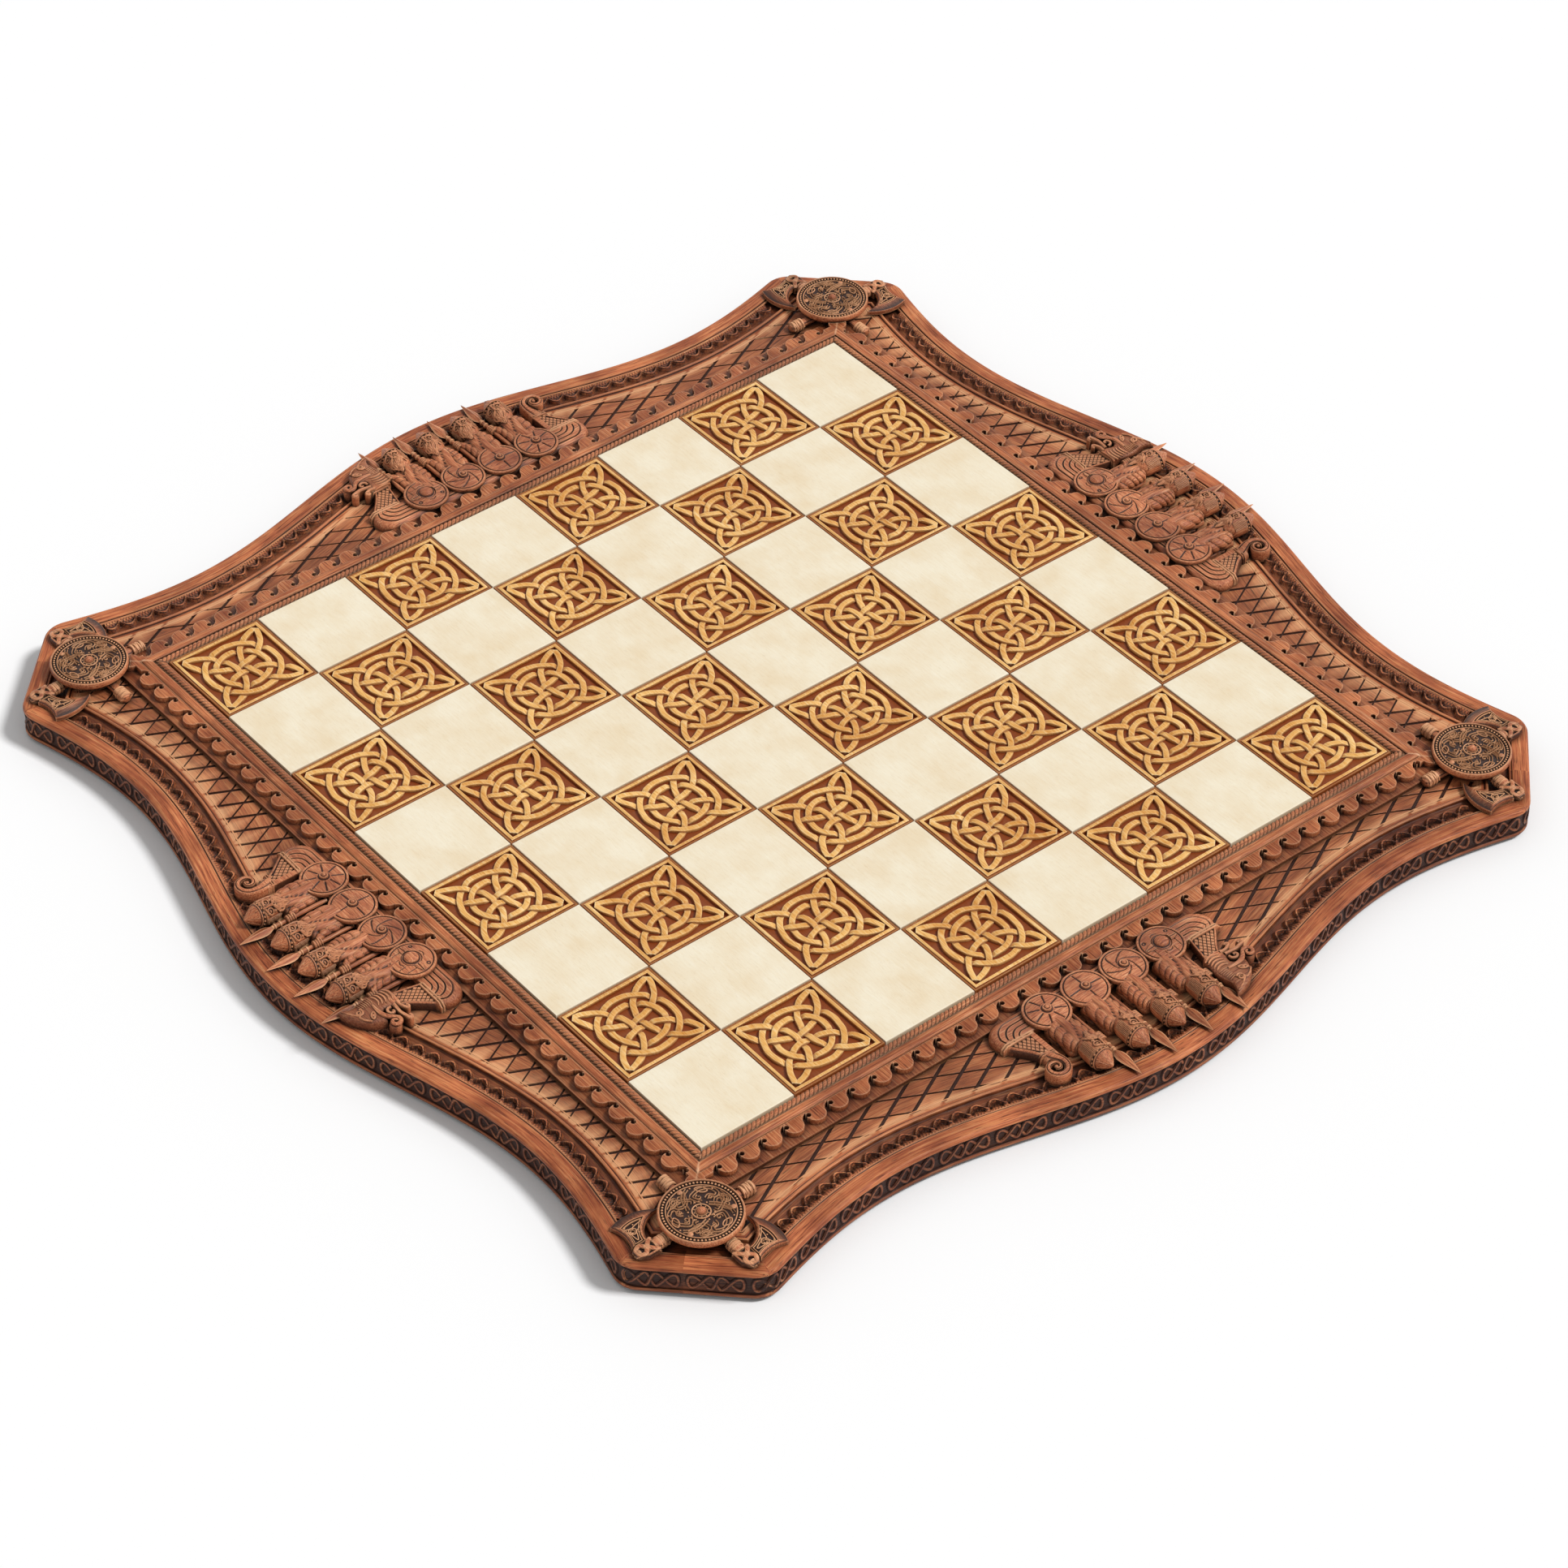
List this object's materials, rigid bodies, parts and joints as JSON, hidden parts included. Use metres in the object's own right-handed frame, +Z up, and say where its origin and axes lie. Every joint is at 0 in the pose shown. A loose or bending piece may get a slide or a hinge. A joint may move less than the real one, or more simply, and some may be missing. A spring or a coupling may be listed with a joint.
{
  "type": "chessboard",
  "caption": "Free-standing chessboard of carved wood: inlaid playing field with knotwork tiles inside a broad waved border with longships, shields and crossed axes in relief.",
  "frame": {"origin": "middle of the playing field, on the surface that the felt pads stand on", "axes": "+Z up, +X along the ranks to the right of the player at the south side, +Y along the files away from that player"},
  "size_m": [0.5614, 0.5614, 0.0264],
  "materials": {
    "panel_wood": "oiled",
    "border_wood": "waxed and carved",
    "moulding_wood": "waxed",
    "fret_wood": "waxed",
    "relief_wood": "waxed and carved",
    "pale_wood": "smooth",
    "carved_wood": "carved, gilt straps on a stained ground",
    "key_wood": "plain",
    "steel": "plain",
    "felt": "felt"
  },
  "bodies": {
    "root": {"base_panel": "panel_wood", "border_rail_south": "border_wood", "border_rail_east": "border_wood", "border_rail_north": "border_wood", "border_rail_west": "border_wood", "rope_moulding_south": "moulding_wood", "rope_moulding_east": "moulding_wood", "rope_moulding_north": "moulding_wood", "rope_moulding_west": "moulding_wood", "wave_fret_south": "fret_wood", "wave_fret_east": "fret_wood", "wave_fret_north": "fret_wood", "wave_fret_west": "fret_wood", "corner_shield_south": "relief_wood", "corner_shield_east": "relief_wood", "corner_shield_north": "relief_wood", "corner_shield_west": "relief_wood", "crossed_axes_south": "relief_wood", "crossed_axes_east": "relief_wood", "crossed_axes_north": "relief_wood", "crossed_axes_west": "relief_wood", "ship_hull_south": "relief_wood", "ship_hull_east": "relief_wood", "ship_hull_north": "relief_wood", "ship_hull_west": "relief_wood", "round_shields_south": "relief_wood", "round_shields_east": "relief_wood", "round_shields_north": "relief_wood", "round_shields_west": "relief_wood", "warriors_south": "relief_wood", "warriors_east": "relief_wood", "warriors_north": "relief_wood", "warriors_west": "relief_wood", "spears_south": "relief_wood", "spears_east": "relief_wood", "spears_north": "relief_wood", "spears_west": "relief_wood", "light_tiles_rank_1": "pale_wood", "light_tiles_rank_2": "pale_wood", "light_tiles_rank_3": "pale_wood", "light_tiles_rank_4": "pale_wood", "light_tiles_rank_5": "pale_wood", "light_tiles_rank_6": "pale_wood", "light_tiles_rank_7": "pale_wood", "light_tiles_rank_8": "pale_wood", "carved_tiles_rank_1": "carved_wood", "carved_tiles_rank_2": "carved_wood", "carved_tiles_rank_3": "carved_wood", "carved_tiles_rank_4": "carved_wood", "carved_tiles_rank_5": "carved_wood", "carved_tiles_rank_6": "carved_wood", "carved_tiles_rank_7": "carved_wood", "carved_tiles_rank_8": "carved_wood", "mitre_keys": "key_wood", "corner_screws": "steel", "felt_pads": "felt"}
  },
  "joints": []
}
